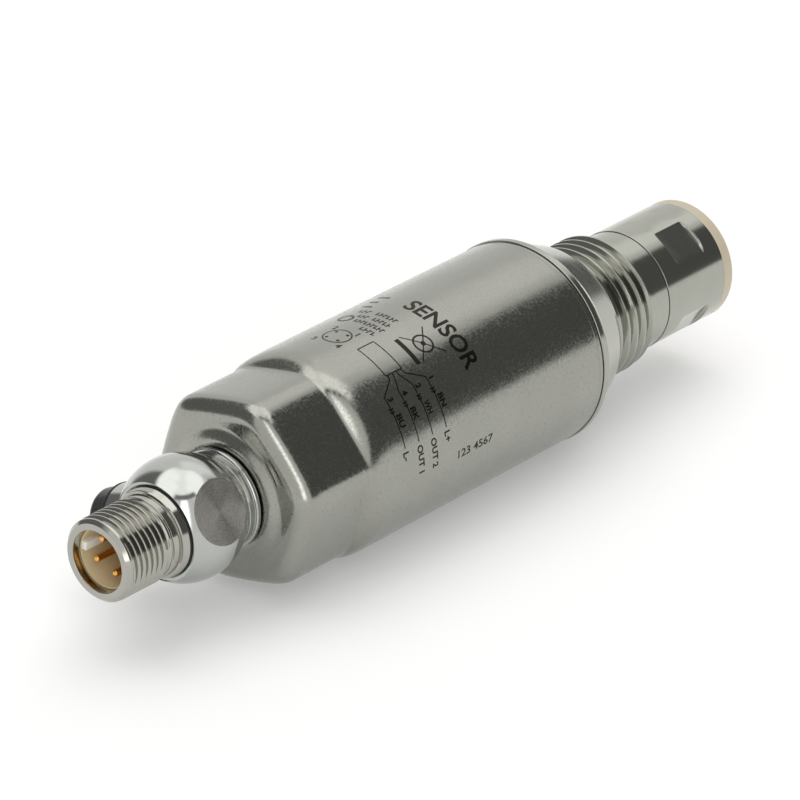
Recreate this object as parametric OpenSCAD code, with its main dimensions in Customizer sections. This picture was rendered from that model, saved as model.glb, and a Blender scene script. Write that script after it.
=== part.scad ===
// Flush-mount pressure transmitter with a swivelling M12 connector head.
// The body is turned about the X axis. X = 0 is the start of the process thread,
// +X points to the measuring tip, +Z is up. Millimetres and degrees throughout.
// A clock angle runs about X from the -Y side (0) up to the +Z side (90).

/* [Housing] */
// Outer diameter of the deep-drawn housing
housing_d = 30.5; // [30:0.1:34]
// Length of the housing from its end face to the weld flange
housing_len = 62.4; // [60:0.1:80]
// Wall thickness of the housing
housing_wall = 1.0; // [0.8:0.1:1.4]
// Width across the flats of the spanner hexagon
hex_af = 27; // [26:0.1:27.5]
// Length of the flats, measured from the end face
hex_len = 12.5; // [10:0.1:15]
// Length of the slope that runs out of each flat
hex_runout = 1.8; // [1:0.1:3]
// Clock angle of the first flat
hex_turn = 42; // [0:1:59]
// Rounding of the end face's edge
edge_r = 1.4; // [0.8:0.1:1.8]
// Height of the collar that is drawn up round the opening in the end face
collar_rise = 0.85; // [0:0.05:1.1]

/* [Process fitting] */
// Major diameter of the process thread (G 1/2)
process_d = 20.955; // [20.9:0.005:21]
// Pitch of the process thread, 14 threads to the inch
process_pitch = 1.814; // [1.814:0.001:1.82]
// Depth of the process thread
process_depth = 1.162; // [1.0:0.001:1.2]
// Width of the plain first land of the thread
process_land = 1.2; // [0.8:0.1:1.4]
// Number of full crests after the first land
process_crests = 4; // [3:1:4]
// Length of the sealing cone behind the thread
cone_len = 7.4; // [6:0.1:9]
// Diameter of the weld flange
flange_d = 30.8; // [30.6:0.1:32]
// Diameter of the neck between the thread and the nose
neck_d = 18.2; // [17:0.1:18.4]

/* [Nose] */
// Diameter of the nose
nose_d = 18.4; // [18.2:0.1:18.6]
// Distance from the start of the thread to the nose's weld joint
nose_start = 14.2; // [13.5:0.1:15]
// Length of the nose's metal sleeve
nose_len = 13; // [12.5:0.1:14]
// Height of the plastic ring at the tip
tip_ring_len = 2.05; // [1.5:0.05:3]
// Length of the four key pockets
pocket_len = 5.5; // [4:0.1:6]
// Distance from the axis to the floor of a pocket
pocket_floor = 8.72; // [8.6:0.01:9]
// Clock angle of the first pocket
pocket_turn = 53; // [0:1:89]
// Radius of the ceramic measuring cell
cell_r = 6.9; // [6:0.1:6.9]

/* [Connector head] */
// Diameter of the ball
ball_d = 17.8; // [17.4:0.1:18]
// Distance from the ball's centre to the housing's end face
ball_reach = 8.9; // [8.8:0.1:10]
// Distance from the ball's centre to its front face
ball_front = 5.2; // [5:0.1:5.6]
// Distance from the axis to the two turned flats of the ball
ball_flat = 7.63; // [7.4:0.01:8]
// Clock angle of the plain flat
flat_turn = 25; // [0:1:90]
// Clock angle of the vent
vent_turn = 199; // [180:1:220]
// Outer diameter of the rim behind the ball
rim_d = 14.6; // [14:0.1:15]
// Radius of the spigot that turns in the bush
spigot_r = 5.6; // [5.4:0.05:5.8]
// Radial running clearance of the spigot in the bush
spigot_play = 0.05; // [0.02:0.01:0.09]

/* [M12 connector] */
// Major diameter of the connector thread (M12 x 1)
m12_d = 12; // [12:0.01:12]
// Pitch of the connector thread
m12_pitch = 1; // [1:0.01:1]
// Depth of the connector thread
m12_depth = 0.61; // [0.55:0.01:0.65]
// Number of crests
m12_crests = 7; // [5:1:7]
// Length of the connector in front of the ball
m12_len = 11.4; // [11:0.1:13]
// Diameter of the bore at the mouth
m12_bore_d = 8.9; // [8.8:0.1:9]
// Diameter of a contact pin
pin_d = 1; // [0.9:0.05:1]
// Radius of the circle the pins stand on
pin_circle_r = 2.5; // [2.4:0.1:2.6]
// Clock angle of the first pin
pin_turn = 28; // [0:1:89]
// Clock angle of the coding key
key_turn = 171; // [0:1:359]

/* [Hidden] */
$fn = 96;

housing_r = housing_d / 2;
housing_mouth = 7;
collar_foot = 10.5;
x_flange = -cone_len;
x_weld = x_flange - 1.4;
x_end = x_weld - housing_len;
x_ball = x_end - ball_reach;
x_ball_front = x_ball - ball_front;
x_mouth = x_ball_front - m12_len;
x_nose_end = nose_start + nose_len;
x_tip = x_nose_end + tip_ring_len;

// Head: rim and spigot behind the ball
x_rim = x_end - 1.9;
rim_t = 0.7;
x_spigot_end = x_end + 5.9;
x_retainer = x_end + 4.1;
retainer_t = 0.8;
x_spigot_seal = x_end + 2.2;
spigot_bore = 3.8;
head_bore = 4.5;

// Connector: plain neck, flange and the spigot that sits in the ball
m12_r = m12_d / 2;
m12_first_crest = x_mouth + 1.9;
m12_crest_w = 0.16;
x_m12_neck = x_mouth + 8.3;
x_m12_flange = x_mouth + 9.4;
gasket_t = 0.2;
m12_spigot_r = 4.98;
m12_spigot_end = x_ball_front + 3.6;
plug_neck_r = 5.55;
cup_floor = x_mouth + 9;
insert_end = x_mouth + 13.4;
cup_wall = 0.25;

// Vent, on its own radial axis
x_vent = x_ball + 0.2;
vent_r = 4.8;
vent_top = 11.2;
cap_r = 4.2;
cap_top = 14.6;

// Electronics
inner_r = housing_r - housing_wall;
sleeve_r = inner_r - 0.25;
sleeve_wall = 0.6;
x_sleeve = x_end + 15.7;
sleeve_len = 42.8;
board_top = -2;
board_t = 1;
x_board = x_sleeve + 2.3;
board_len = sleeve_len - 4.6;
board_w = 24;
fitting_bore = 5;
cell_bore = 7.6;
x_cell_board = nose_start + 2.4;

// --- helpers -------------------------------------------------------------------

// Revolves [radius, x] points about the X axis
module turned(points) {
    rotate([0, 90, 0]) rotate_extrude() polygon(points);
}

// Plain cylinder on the X axis
module rod(x0, x1, r) {
    translate([x0, 0, 0]) rotate([0, 90, 0]) cylinder(h = x1 - x0, r = r);
}

// Ring on the X axis
module ring(x0, x1, r_out, r_in) {
    turned([[r_in, x0], [r_out, x0], [r_out, x1], [r_in, x1]]);
}

// Turns its children from the -Y side to a clock angle
module clock(angle) {
    rotate([-angle, 0, 0]) children();
}

// Cylinder on a radial axis at x, from height h0 to h1 above the X axis
module radial_rod(x, h0, h1, r) {
    translate([x, -h0, 0]) rotate([90, 0, 0]) cylinder(h = h1 - h0, r = r);
}

// Block on the X axis: centre line y, bottom z
module block(x0, x1, width, z0, z1) {
    translate([x0, -width / 2, z0]) cube([x1 - x0, width, z1 - z0]);
}

// Crest and root points of a thread cut as rings, [radius, x]
function thread_points(first, count, pitch, r, depth, crest, flank) = [
    for (i = [0 : count - 1]) for (p = [
        [r - depth, first + i * pitch - crest / 2 - flank],
        [r, first + i * pitch - crest / 2],
        [r, first + i * pitch + crest / 2],
        [r - depth, first + i * pitch + crest / 2 + flank]
    ]) p
];

// --- housing -------------------------------------------------------------------

// Round can with a hexagonal end: outside or inside form, grown inwards by inset
module can_form(inset, x0, x1) {
    r = housing_r - inset;
    apothem = hex_af / 2 - inset;
    corner = edge_r - inset / 2;
    flat_end = x_end + hex_len + inset / 2;
    difference() {
        turned([
            [0, x0],
            [r - corner, x0],
            for (a = [15 : 15 : 75]) [r - corner + corner * sin(a), x0 + corner - corner * cos(a)],
            [r, x0 + corner],
            [r, x1],
            [0, x1]
        ]);
        for (i = [0 : 5]) clock(hex_turn + 60 * i)
            translate([0, 0, -housing_r]) linear_extrude(2 * housing_r) polygon([
                [x0 - 1, -(apothem - corner - 1)],
                [x0 + corner, -apothem],
                [flat_end, -apothem],
                [flat_end + hex_runout, -(r + 0.05)],
                [flat_end + hex_runout, -(r + 3)],
                [x0 - 1, -(r + 3)]
            ]);
    }
}

module housing_shell() {
    color("silver") difference() {
        union() {
            can_form(0, x_end, x_weld);
            turned([
                [6, x_end + 0.5], [collar_foot, x_end + 0.5], [collar_foot, x_end],
                [collar_foot - 1.4, x_end - collar_rise * 0.6],
                [collar_foot - 2.6, x_end - collar_rise], [6, x_end - collar_rise]
            ]);
        }
        can_form(housing_wall, x_end + housing_wall, x_weld + 1);
        rod(x_end - 2, x_end + 2, housing_mouth);
    }
}

// Flanged bush welded into the end wall; the head's spigot turns in it
module swivel_bush() {
    bore = spigot_r + spigot_play;
    color("lightgray") turned([
        [bore, x_end + 0.1], [6.98, x_end + 0.1], [6.98, x_end + housing_wall],
        [8.6, x_end + housing_wall], [8.6, x_end + 2.2], [7.2, x_end + 2.2],
        [7.2, x_retainer - 0.1], [bore, x_retainer - 0.1]
    ]);
}

// --- process end ---------------------------------------------------------------

module process_fitting() {
    flank = process_depth * tan(27.5);
    crest_w = 0.3;
    root = process_d / 2 - process_depth;
    first = process_land + 2 * flank + 0.45 + crest_w / 2;
    last = first + (process_crests - 1) * process_pitch + crest_w / 2 + flank;
    color("gainsboro") turned([
        [fitting_bore, x_weld - 3.5], [inner_r - 0.02, x_weld - 3.5],
        [inner_r - 0.02, x_weld], [flange_d / 2 - 0.1, x_weld],
        [flange_d / 2, x_weld + 0.1], [flange_d / 2, x_weld + 1.1],
        [flange_d / 2 - 0.32, x_flange + 0.2],
        [12.41, -1.7], [11.85, -0.55], [11.5, -0.3], [process_d / 2, -0.3],
        [process_d / 2, process_land],
        [root, process_land + flank],
        each thread_points(first, process_crests, process_pitch, process_d / 2,
                           process_depth, crest_w, flank),
        [root, last + 0.1], [neck_d / 2, last + 0.25],
        [neck_d / 2, nose_start], [fitting_bore, nose_start]
    ]);
}

module nose_sleeve() {
    color("gainsboro") difference() {
        turned([
            [fitting_bore, nose_start], [nose_d / 2 - 0.1, nose_start],
            [nose_d / 2, nose_start + 0.1], [nose_d / 2, x_nose_end],
            [cell_bore, x_nose_end], [cell_bore, nose_start + 2],
            [fitting_bore, nose_start + 2]
        ]);
        for (i = [0 : 3]) clock(pocket_turn + 90 * i)
            translate([nose_start + 4, -nose_d, -4])
                cube([pocket_len, nose_d - pocket_floor, 8]);
    }
}

// Plastic ring that closes the gap between the nose and the cell
module tip_ring() {
    color("wheat") turned([
        [cell_r + 0.02, nose_start + 8], [cell_bore - 0.02, nose_start + 8],
        [cell_bore - 0.02, x_nose_end], [nose_d / 2, x_nose_end],
        [nose_d / 2, x_tip - 0.35], [nose_d / 2 - 0.35, x_tip],
        [cell_r + 0.02, x_tip]
    ]);
}

module measuring_cell() {
    color("ivory") rod(nose_start + 6.6, x_tip - 0.25, cell_r);
}

module cell_washer() {
    color("dimgray") ring(nose_start + 5.8, nose_start + 6.6, cell_bore - 0.1, fitting_bore);
}

module clamp_ring() {
    color("silver") ring(x_cell_board + 1, nose_start + 5.8, cell_bore - 0.02, fitting_bore);
}

module cell_pins() {
    color("gold") for (i = [0 : 3]) clock(45 + 90 * i)
        translate([x_cell_board + 0.9, -3.2, 0]) rotate([0, 90, 0])
            cylinder(h = nose_start + 6.6 - x_cell_board - 0.9, r = 0.25);
}

module cell_board() {
    color("darkgreen") rod(x_cell_board, x_cell_board + 0.9, cell_bore - 0.1);
}

module cell_chip() {
    color("black") block(x_cell_board + 0.9, x_cell_board + 1.9, 4, -2, 2);
}

// --- electronics ---------------------------------------------------------------

module flex_lead() {
    color("orange") block(x_board + board_len - 1.5, x_cell_board, 6, board_top + 1, board_top + 1.3);
}

module flex_header() {
    color("white")
        block(x_board + board_len - 5.5, x_board + board_len - 1.5, 8, board_top, board_top + 2.2);
}

module main_board() {
    color("green") block(x_board, x_board + board_len, board_w, board_top - board_t, board_top);
}

// Round end plate with a ledge that the board rests on
module carrier(x0, x1, window_r) {
    difference() {
        rod(x0, x1, sleeve_r - sleeve_wall - 0.05);
        rod(x0 - 1, x1 + 1, window_r);
    }
}

module front_carrier() {
    color("black") carrier(x_sleeve, x_board, 3);
}

module rear_carrier() {
    color("black") carrier(x_board + board_len, x_sleeve + sleeve_len, 4);
}

module insulating_sleeve() {
    color("whitesmoke")
        ring(x_sleeve, x_sleeve + sleeve_len, sleeve_r, sleeve_r - sleeve_wall);
}

module processor_chip() {
    color("black") block(x_board + 18, x_board + 25, 7, board_top, board_top + 1);
}

// Small packages on both faces of the board
module board_chips() {
    color("dimgray") {
        for (x = [11, 28]) for (side = [-1, 1])
            translate([x_board + x, side * 8 - 2, board_top]) cube([5, 4, 1.4]);
        for (x = [6, 14, 22, 30])
            translate([x_board + x, -3, board_top - board_t - 1.5]) cube([5, 6, 1.5]);
    }
}

module capacitors() {
    color("steelblue") for (side = [-1, 1])
        translate([x_board + 8, side * 8, board_top]) cylinder(h = 5.5, r = 2);
}

module wire_header() {
    color("white") block(x_board + 0.4, x_board + 5.4, 9, board_top, board_top + 4);
}

// Four insulated wires laid round the swivel axis
module signal_wires() {
    color("saddlebrown") for (i = [0 : 3]) clock(45 + 90 * i)
        translate([x_ball + 2, -0.85, 0]) rotate([0, 90, 0])
            cylinder(h = x_board + 0.4 - x_ball - 2, r = 0.55);
}

// --- connector head ------------------------------------------------------------

module ball_housing() {
    ball_r = ball_d / 2;
    neck_r = 6.95;
    color("silver") difference() {
        union() {
            intersection() {
                translate([x_ball, 0, 0]) sphere(r = ball_r);
                rod(x_ball_front, x_ball + 6.2, ball_r + 1);
            }
            turned([
                [0, x_ball + 2], [neck_r, x_ball + 2], [neck_r, x_rim],
                [rim_d / 2 - 0.15, x_rim], [rim_d / 2, x_rim + 0.15],
                [rim_d / 2, x_rim + rim_t], [spigot_r, x_rim + rim_t],
                [spigot_r, x_spigot_seal - 0.5], [spigot_r - 0.9, x_spigot_seal - 0.5],
                [spigot_r - 0.9, x_spigot_seal + 0.5], [spigot_r, x_spigot_seal + 0.5],
                [spigot_r, x_retainer], [spigot_r - 0.6, x_retainer],
                [spigot_r - 0.6, x_retainer + retainer_t], [spigot_r, x_retainer + retainer_t],
                [spigot_r, x_spigot_end - 0.3], [spigot_r - 0.3, x_spigot_end],
                [0, x_spigot_end]
            ]);
        }
        rod(x_ball_front - 1, m12_spigot_end, 5);
        rod(x_ball_front, x_ball + 1.4, head_bore);
        rod(x_ball, x_spigot_end + 1, spigot_bore);
        for (angle = [flat_turn, vent_turn]) clock(angle)
            translate([x_ball - 6, -ball_flat - 5, -6]) cube([12, 5, 12]);
        clock(vent_turn) radial_rod(x_vent, 2, ball_r + 1, 2.4);
    }
}

// Rubber ring in the gap between the rim and the housing
module rim_gasket() {
    color("black") ring(x_rim + rim_t, x_end + 0.05, 6.6, spigot_r);
}

module spigot_seal() {
    color("black") translate([x_spigot_seal, 0, 0]) rotate([0, 90, 0])
        rotate_extrude() translate([spigot_r - 0.45, 0]) circle(r = 0.43);
}

// Snap ring that keeps the spigot in the bush
module retaining_ring() {
    color("gray") difference() {
        ring(x_retainer + 0.02, x_retainer + retainer_t - 0.02, 6.8, spigot_r - 0.58);
        clock(90) translate([x_retainer - 1, -8, -1.6]) cube([3, 7, 3.2]);
    }
}

module m12_shell() {
    bore = m12_bore_d / 2;
    flank = (m12_pitch - m12_crest_w) * 0.42;
    last = m12_first_crest + (m12_crests - 1) * m12_pitch;
    color("lightgray") turned([
        [bore, x_mouth + 0.1], [bore + 0.1, x_mouth], [5.35, x_mouth],
        [m12_r - 0.2, x_mouth + 0.95],
        [m12_r - m12_depth, m12_first_crest - m12_crest_w / 2 - flank],
        each thread_points(m12_first_crest, m12_crests, m12_pitch, m12_r, m12_depth,
                           m12_crest_w, flank),
        [plug_neck_r, last + flank + 0.3], [plug_neck_r, x_m12_flange],
        [m12_r, x_m12_flange], [6.6, x_m12_flange + 0.55],
        [6.6, x_ball_front - gasket_t], [m12_spigot_r, x_ball_front - gasket_t],
        [m12_spigot_r, m12_spigot_end], [3.9, m12_spigot_end],
        [3.9, insert_end], [bore, insert_end]
    ]);
}

module shell_gasket() {
    color("black") ring(x_ball_front - gasket_t, x_ball_front, 6.65, m12_spigot_r + 0.02);
}

// Insulating cup with the coding key
module m12_insert() {
    outer = m12_bore_d / 2 - 0.02;
    inner = outer - cup_wall;
    color("tan") difference() {
        union() {
            ring(x_mouth + 1.4, cup_floor, outer, inner);
            rod(cup_floor, insert_end, outer);
            clock(key_turn) translate([x_mouth + 1.4, -inner - 0.1, -0.7])
                cube([cup_floor - x_mouth - 1.3, 0.95, 1.4]);
        }
        for (i = [0 : 3]) at_pin(i) rod(cup_floor - 1, insert_end + 1, pin_d / 2 + 0.01);
    }
}

// Moves its children from the axis onto one of the four pin places
module at_pin(i) {
    clock(pin_turn + 90 * i) translate([0, -pin_circle_r, 0]) children();
}

module contact_pin(i) {
    r = pin_d / 2;
    tip = x_mouth + 2;
    color("gold") at_pin(i) turned([
        [0, tip], [r * 0.5, tip], [r * 0.87, tip + 0.2], [r, tip + 0.5],
        [r, insert_end], [0.35, insert_end], [0.35, insert_end + 3.2], [0, insert_end + 3.2]
    ]);
}

// Small round board that the pins are soldered to
module contact_board() {
    x0 = insert_end + 2.2;
    color("darkgreen") difference() {
        rod(x0, x0 + 0.8, head_bore - 0.1);
        for (i = [0 : 3]) at_pin(i) rod(x0 - 1, x0 + 2, 0.37);
    }
}

module vent_body() {
    color("silver") clock(vent_turn) difference() {
        union() {
            radial_rod(x_vent, 5.2, ball_flat, 2.38);
            radial_rod(x_vent, ball_flat + 0.15, vent_top, vent_r);
            radial_rod(x_vent, ball_flat, ball_flat + 0.15, 2.5);
        }
        radial_rod(x_vent, 4, vent_top + 1, 1.2);
        radial_rod(x_vent, vent_top - 0.5, vent_top + 1, 3.3);
    }
}

module vent_gasket() {
    color("black") clock(vent_turn) difference() {
        radial_rod(x_vent, ball_flat, ball_flat + 0.15, 4.4);
        radial_rod(x_vent, ball_flat - 1, ball_flat + 1, 2.52);
    }
}

module vent_membrane() {
    color("white") clock(vent_turn) radial_rod(x_vent, vent_top - 0.5, vent_top - 0.3, 3.2);
}

// Cap with four slots round its foot for the air to pass
module vent_cap() {
    color("black") clock(vent_turn) difference() {
        union() {
            radial_rod(x_vent, vent_top, cap_top - 0.4, cap_r);
            translate([x_vent, -(cap_top - 0.4), 0]) rotate([90, 0, 0])
                cylinder(h = 0.4, r1 = cap_r, r2 = cap_r - 0.4);
        }
        radial_rod(x_vent, vent_top - 1, vent_top + 2, 3.3);
        for (turn = [0, 90]) translate([x_vent, -vent_top, 0]) rotate([0, turn, 0])
            translate([-5, -0.6, -0.8]) cube([10, 0.7, 1.6]);
    }
}

housing_shell();
swivel_bush();
process_fitting();
nose_sleeve();
tip_ring();
measuring_cell();
cell_washer();
clamp_ring();
cell_pins();
cell_board();
cell_chip();
flex_lead();
flex_header();
main_board();
front_carrier();
rear_carrier();
insulating_sleeve();
processor_chip();
board_chips();
capacitors();
wire_header();
signal_wires();
ball_housing();
rim_gasket();
spigot_seal();
retaining_ring();
m12_shell();
shell_gasket();
m12_insert();
contact_pin(0);  // contact_pin_1
contact_pin(1);  // contact_pin_2
contact_pin(2);  // contact_pin_3
contact_pin(3);  // contact_pin_4
contact_board();
vent_body();
vent_gasket();
vent_membrane();
vent_cap();
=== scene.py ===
"""Looks of a flush-mount pressure transmitter with a swivelling M12 connector head.

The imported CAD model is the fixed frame. Each sub-assembly below builds detailed pieces over its CAD nodes.
Sizes are millimetres in the row frame: X runs from the plug to the measuring tip and Z is up. A clock angle
is in degrees about X, from the -Y side (0) up to the +Z side (90).
"""

import logging
import math
from collections.abc import Sequence
from dataclasses import dataclass, field
from enum import Enum

import bmesh
import bpy
from mathutils import Matrix, Vector


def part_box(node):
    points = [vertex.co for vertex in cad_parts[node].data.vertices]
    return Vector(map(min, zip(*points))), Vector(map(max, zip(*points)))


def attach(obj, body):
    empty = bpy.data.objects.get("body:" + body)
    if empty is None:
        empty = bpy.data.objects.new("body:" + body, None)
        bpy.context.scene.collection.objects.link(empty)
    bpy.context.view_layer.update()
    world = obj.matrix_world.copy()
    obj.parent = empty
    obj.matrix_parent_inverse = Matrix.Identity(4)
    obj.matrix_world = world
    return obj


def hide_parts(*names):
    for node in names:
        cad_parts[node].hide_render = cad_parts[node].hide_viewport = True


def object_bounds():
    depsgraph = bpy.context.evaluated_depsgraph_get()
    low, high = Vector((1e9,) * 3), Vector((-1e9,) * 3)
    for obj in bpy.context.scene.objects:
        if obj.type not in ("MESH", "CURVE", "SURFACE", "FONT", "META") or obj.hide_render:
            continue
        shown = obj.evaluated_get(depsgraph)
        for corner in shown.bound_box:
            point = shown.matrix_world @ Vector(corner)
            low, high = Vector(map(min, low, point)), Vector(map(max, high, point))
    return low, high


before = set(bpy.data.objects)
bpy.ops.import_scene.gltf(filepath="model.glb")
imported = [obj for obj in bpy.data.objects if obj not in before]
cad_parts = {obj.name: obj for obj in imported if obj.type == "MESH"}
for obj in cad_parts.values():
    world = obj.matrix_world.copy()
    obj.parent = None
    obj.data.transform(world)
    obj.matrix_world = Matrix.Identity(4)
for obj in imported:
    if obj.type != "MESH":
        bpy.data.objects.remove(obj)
CAD_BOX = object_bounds()

MM = 0.001
HOUSING_BODY = "housing"
HEAD_BODY = "connector_head"
SPOTS_PER_METRE = 160.0
FINE_LOW, FINE_HIGH = 0.32, 0.68
LIGHT_TINT = (1.0, 0.995, 0.985, 1)
SCATTER_REACH = (0.0010, 0.0007, 0.0004)
log = logging.getLogger("transmitter")


Mesh = bmesh.types.BMesh
Socket = bpy.types.NodeSocket
Tree = bpy.types.NodeTree
Value = Socket | float | Sequence[float]


# --- finishes ------------------------------------------------------------------------------------

def fill(tree: Tree, node: bpy.types.Node, inputs: dict[str | int, Value]) -> None:
    """Sets each input of a node to a constant, or links it to a socket."""
    for name, value in inputs.items():
        if isinstance(value, Socket):
            tree.links.new(value, node.inputs[name])
        else:
            node.inputs[name].default_value = value


def add_node(tree: Tree, kind: str, inputs: dict[str | int, Value]) -> bpy.types.Node:
    """Adds a shader node of a kind, fills its inputs and returns it."""
    node = tree.nodes.new("ShaderNode" + kind)
    fill(tree, node, inputs)
    return node


def mixed(tree: Tree, share: Value, low: Value, high: Value, blend: str = "MIX") -> Socket:
    """Adds a colour that goes from low to the blend with high as share goes from 0 to 1, and returns it."""
    node = tree.nodes.new("ShaderNodeMix")
    node.data_type = "RGBA"
    node.blend_type = blend
    fill(tree, node, {0: share, 6: low, 7: high})
    return node.outputs[2]


def noise(tree: Tree, scale: float, detail: float, stretch: tuple[float, float, float] = (1, 1, 1),
          place: Socket | None = None) -> Socket:
    """Adds a noise texture.

    Args:
        tree: The node tree.
        scale: Cells per metre.
        detail: Number of finer layers.
        stretch: Scale of the place along each axis.
        place: The place, or none for the object's own coordinates.

    Returns:
        The noise's value.
    """
    place = place or tree.nodes.new("ShaderNodeTexCoord").outputs["Object"]
    mapping = add_node(tree, "Mapping", {"Scale": stretch, "Vector": place})
    texture = {"Scale": scale, "Detail": detail, "Vector": mapping.outputs["Vector"]}
    return add_node(tree, "TexNoise", texture).outputs["Fac"]


class Pattern(Enum):
    """How the fine structure of a surface runs."""

    GRAIN = "the same in every direction"
    TURNED = "fine lines round the X axis"
    RINGS = "fine rings round an axis of the piece's own"
    FLEX = "lines along X"


@dataclass(frozen=True)
class Finish:
    """One surface finish, made as a node material.

    Attributes:
        name: Name of the finish, from which its material is named.
        colour: Linear base colour.
        shade: How much darker the pattern's low spots are, 0 to 1.
        metallic: 1 for bare metal, 0 for plastic.
        roughness: Mean roughness.
        roughness_swing: How much the pattern changes the roughness.
        pattern: How the fine structure runs.
        pitch: Distance between the pattern's cells, in millimetres.
        relief: Height of the bump, in millimetres.
        blotch: How much slow, large spots change the colour, 0 to 1.
        subsurface: Weight of the light that scatters under the surface.
        anisotropy: Stretch of the highlight along the piece's UV map.
        waviness: Height of the slow waves that pressing leaves, in millimetres.
    """

    name: str
    colour: tuple[float, float, float]
    shade: float = 0.15
    metallic: float = 0.0
    roughness: float = 0.45
    roughness_swing: float = 0.06
    pattern: Pattern = Pattern.GRAIN
    pitch: float = 0.3
    relief: float = 0.002
    blotch: float = 0.05
    subsurface: float = 0.0
    anisotropy: float = 0.0
    waviness: float = 0.0

    def material(self) -> bpy.types.Material:
        """Returns the finish's material, made once."""
        name = self.name + "_finish"
        if name in bpy.data.materials:
            return bpy.data.materials[name]
        material = bpy.data.materials.new(name)
        material.use_nodes = True
        tree = material.node_tree
        fine = self._fine(tree)
        slow = noise(tree, SPOTS_PER_METRE, 2.0)
        dim = mixed(tree, fine, (1, 1, 1, 1), (1 - self.shade,) * 3 + (1,))
        spots = mixed(tree, slow, (1 + self.blotch,) * 3 + (1,), (1 - self.blotch,) * 3 + (1,))
        structure = mixed(tree, 1.0, dim, spots, "MULTIPLY")
        rough = add_node(tree, "MapRange", {
            "Value": fine, "From Min": FINE_LOW, "From Max": FINE_HIGH,
            "To Min": self.roughness - self.roughness_swing, "To Max": self.roughness + self.roughness_swing})
        bump = add_node(tree, "Bump", {"Distance": self.relief * MM, "Height": fine})
        if self.waviness:
            waves = add_node(tree, "Bump", {"Distance": self.waviness * MM, "Height": slow})
            fill(tree, bump, {"Normal": waves.outputs["Normal"]})
        inputs = {
            "Metallic": self.metallic,
            "Base Color": mixed(tree, 1.0, (*self.colour, 1), structure, "MULTIPLY"),
            "Roughness": rough.outputs["Result"], "Normal": bump.outputs["Normal"]}
        if self.subsurface:
            inputs |= {"Subsurface Weight": self.subsurface, "Subsurface Radius": SCATTER_REACH,
                       "Subsurface Scale": 1.0}
        if self.anisotropy:
            tangent = add_node(tree, "Tangent", {})
            tangent.direction_type = "UV_MAP"
            inputs |= {"Anisotropic": self.anisotropy, "Tangent": tangent.outputs["Tangent"]}
        fill(tree, tree.nodes["Principled BSDF"], inputs)
        return material

    def _fine(self, tree: Tree) -> Socket:
        """Adds the fine pattern and returns its value, 0 to 1."""
        per_metre = 1 / (self.pitch * MM)
        if self.pattern is Pattern.GRAIN:
            return noise(tree, per_metre, 3.0)
        if self.pattern is Pattern.TURNED:
            return noise(tree, per_metre, 2.0, (1, 0.03, 0.03))
        if self.pattern is Pattern.FLEX:
            return noise(tree, per_metre, 1.0, (0.05, 1, 0.05))
        rings = tree.nodes.new("ShaderNodeUVMap").outputs["UV"]
        return noise(tree, 1 / self.pitch, 2.0, (3, 1 / MM, 1), rings)


BLASTED_STEEL = Finish("housing_steel", (0.340, 0.343, 0.310), 0.11, 1.0, 0.19, 0.09, pitch=0.36,
                       relief=0.008, waviness=0.06)
TURNED_STEEL = Finish("machined_steel", (0.395, 0.40, 0.355), 0.10, 1.0, 0.13, 0.04, Pattern.TURNED,
                      0.12, 0.0012)
BALL_STEEL = Finish("ball_steel", (0.46, 0.475, 0.45), 0.06, 1.0, 0.10, 0.03, Pattern.TURNED, 0.16, 0.0008)
PLUG_STEEL = Finish("connector_steel", (0.42, 0.415, 0.375), 0.08, 1.0, 0.12, 0.03, Pattern.TURNED,
                    0.10, 0.0010)
DISC_STEEL = Finish("disc_steel", (0.55, 0.54, 0.49), 0.12, 1.0, 0.29, 0.04, Pattern.RINGS, 0.14, 0.0012,
                    anisotropy=0.92)
SPRING_STEEL = Finish("spring_steel", (0.32, 0.32, 0.33), 0.2, 1.0, 0.3, pitch=0.5)
CREAM_PLASTIC = Finish("tip_plastic", (0.55, 0.485, 0.36), 0.05, 0.0, 0.38, pitch=0.25, relief=0.003,
                       subsurface=0.15)
CELL_CERAMIC = Finish("cell_ceramic", (0.78, 0.76, 0.70), 0.04, 0.0, 0.22, pitch=0.2, relief=0.0015)
SEAL_RUBBER = Finish("seal_rubber", (0.012, 0.012, 0.012), 0.3, 0.0, 0.55, pitch=0.2, relief=0.004)
BEIGE_PLASTIC = Finish("contact_carrier", (0.70, 0.57, 0.35), 0.05, 0.0, 0.35, pitch=0.3, relief=0.002,
                       subsurface=0.2)
CONTACT_GOLD = Finish("contact_gold", (0.82, 0.44, 0.12), 0.1, 1.0, 0.16, 0.04, Pattern.TURNED, 0.1, 0.001)
BOARD_GREEN = Finish("board_green", (0.015, 0.13, 0.05), 0.4, 0.0, 0.35, pattern=Pattern.FLEX, pitch=0.4)
CHIP_BLACK = Finish("chip_black", (0.02, 0.02, 0.022), 0.3, 0.0, 0.5, pitch=0.15)
CAN_METAL = Finish("capacitor_can", (0.45, 0.5, 0.6), 0.1, 1.0, 0.3, pitch=0.3)
HEADER_WHITE = Finish("header_white", (0.86, 0.84, 0.78), 0.06, 0.0, 0.4, pitch=0.4)
FLEX_FILM = Finish("flex_film", (0.55, 0.2, 0.03), 0.3, 0.0, 0.3, pattern=Pattern.FLEX, pitch=0.5)
CARRIER_BLACK = Finish("carrier_black", (0.02, 0.021, 0.022), 0.2, 0.0, 0.45, pitch=0.5)
LINER_FILM = Finish("liner_film", (0.72, 0.72, 0.68), 0.05, 0.0, 0.4, pitch=0.6)
WIRE_JACKET = Finish("wire_jacket", (0.10, 0.03, 0.012), 0.2, 0.0, 0.4, pitch=0.5)
VENT_PLASTIC = Finish("vent_plastic", (0.025, 0.028, 0.026), 0.15, 0.0, 0.33, pitch=0.3, relief=0.004)
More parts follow.
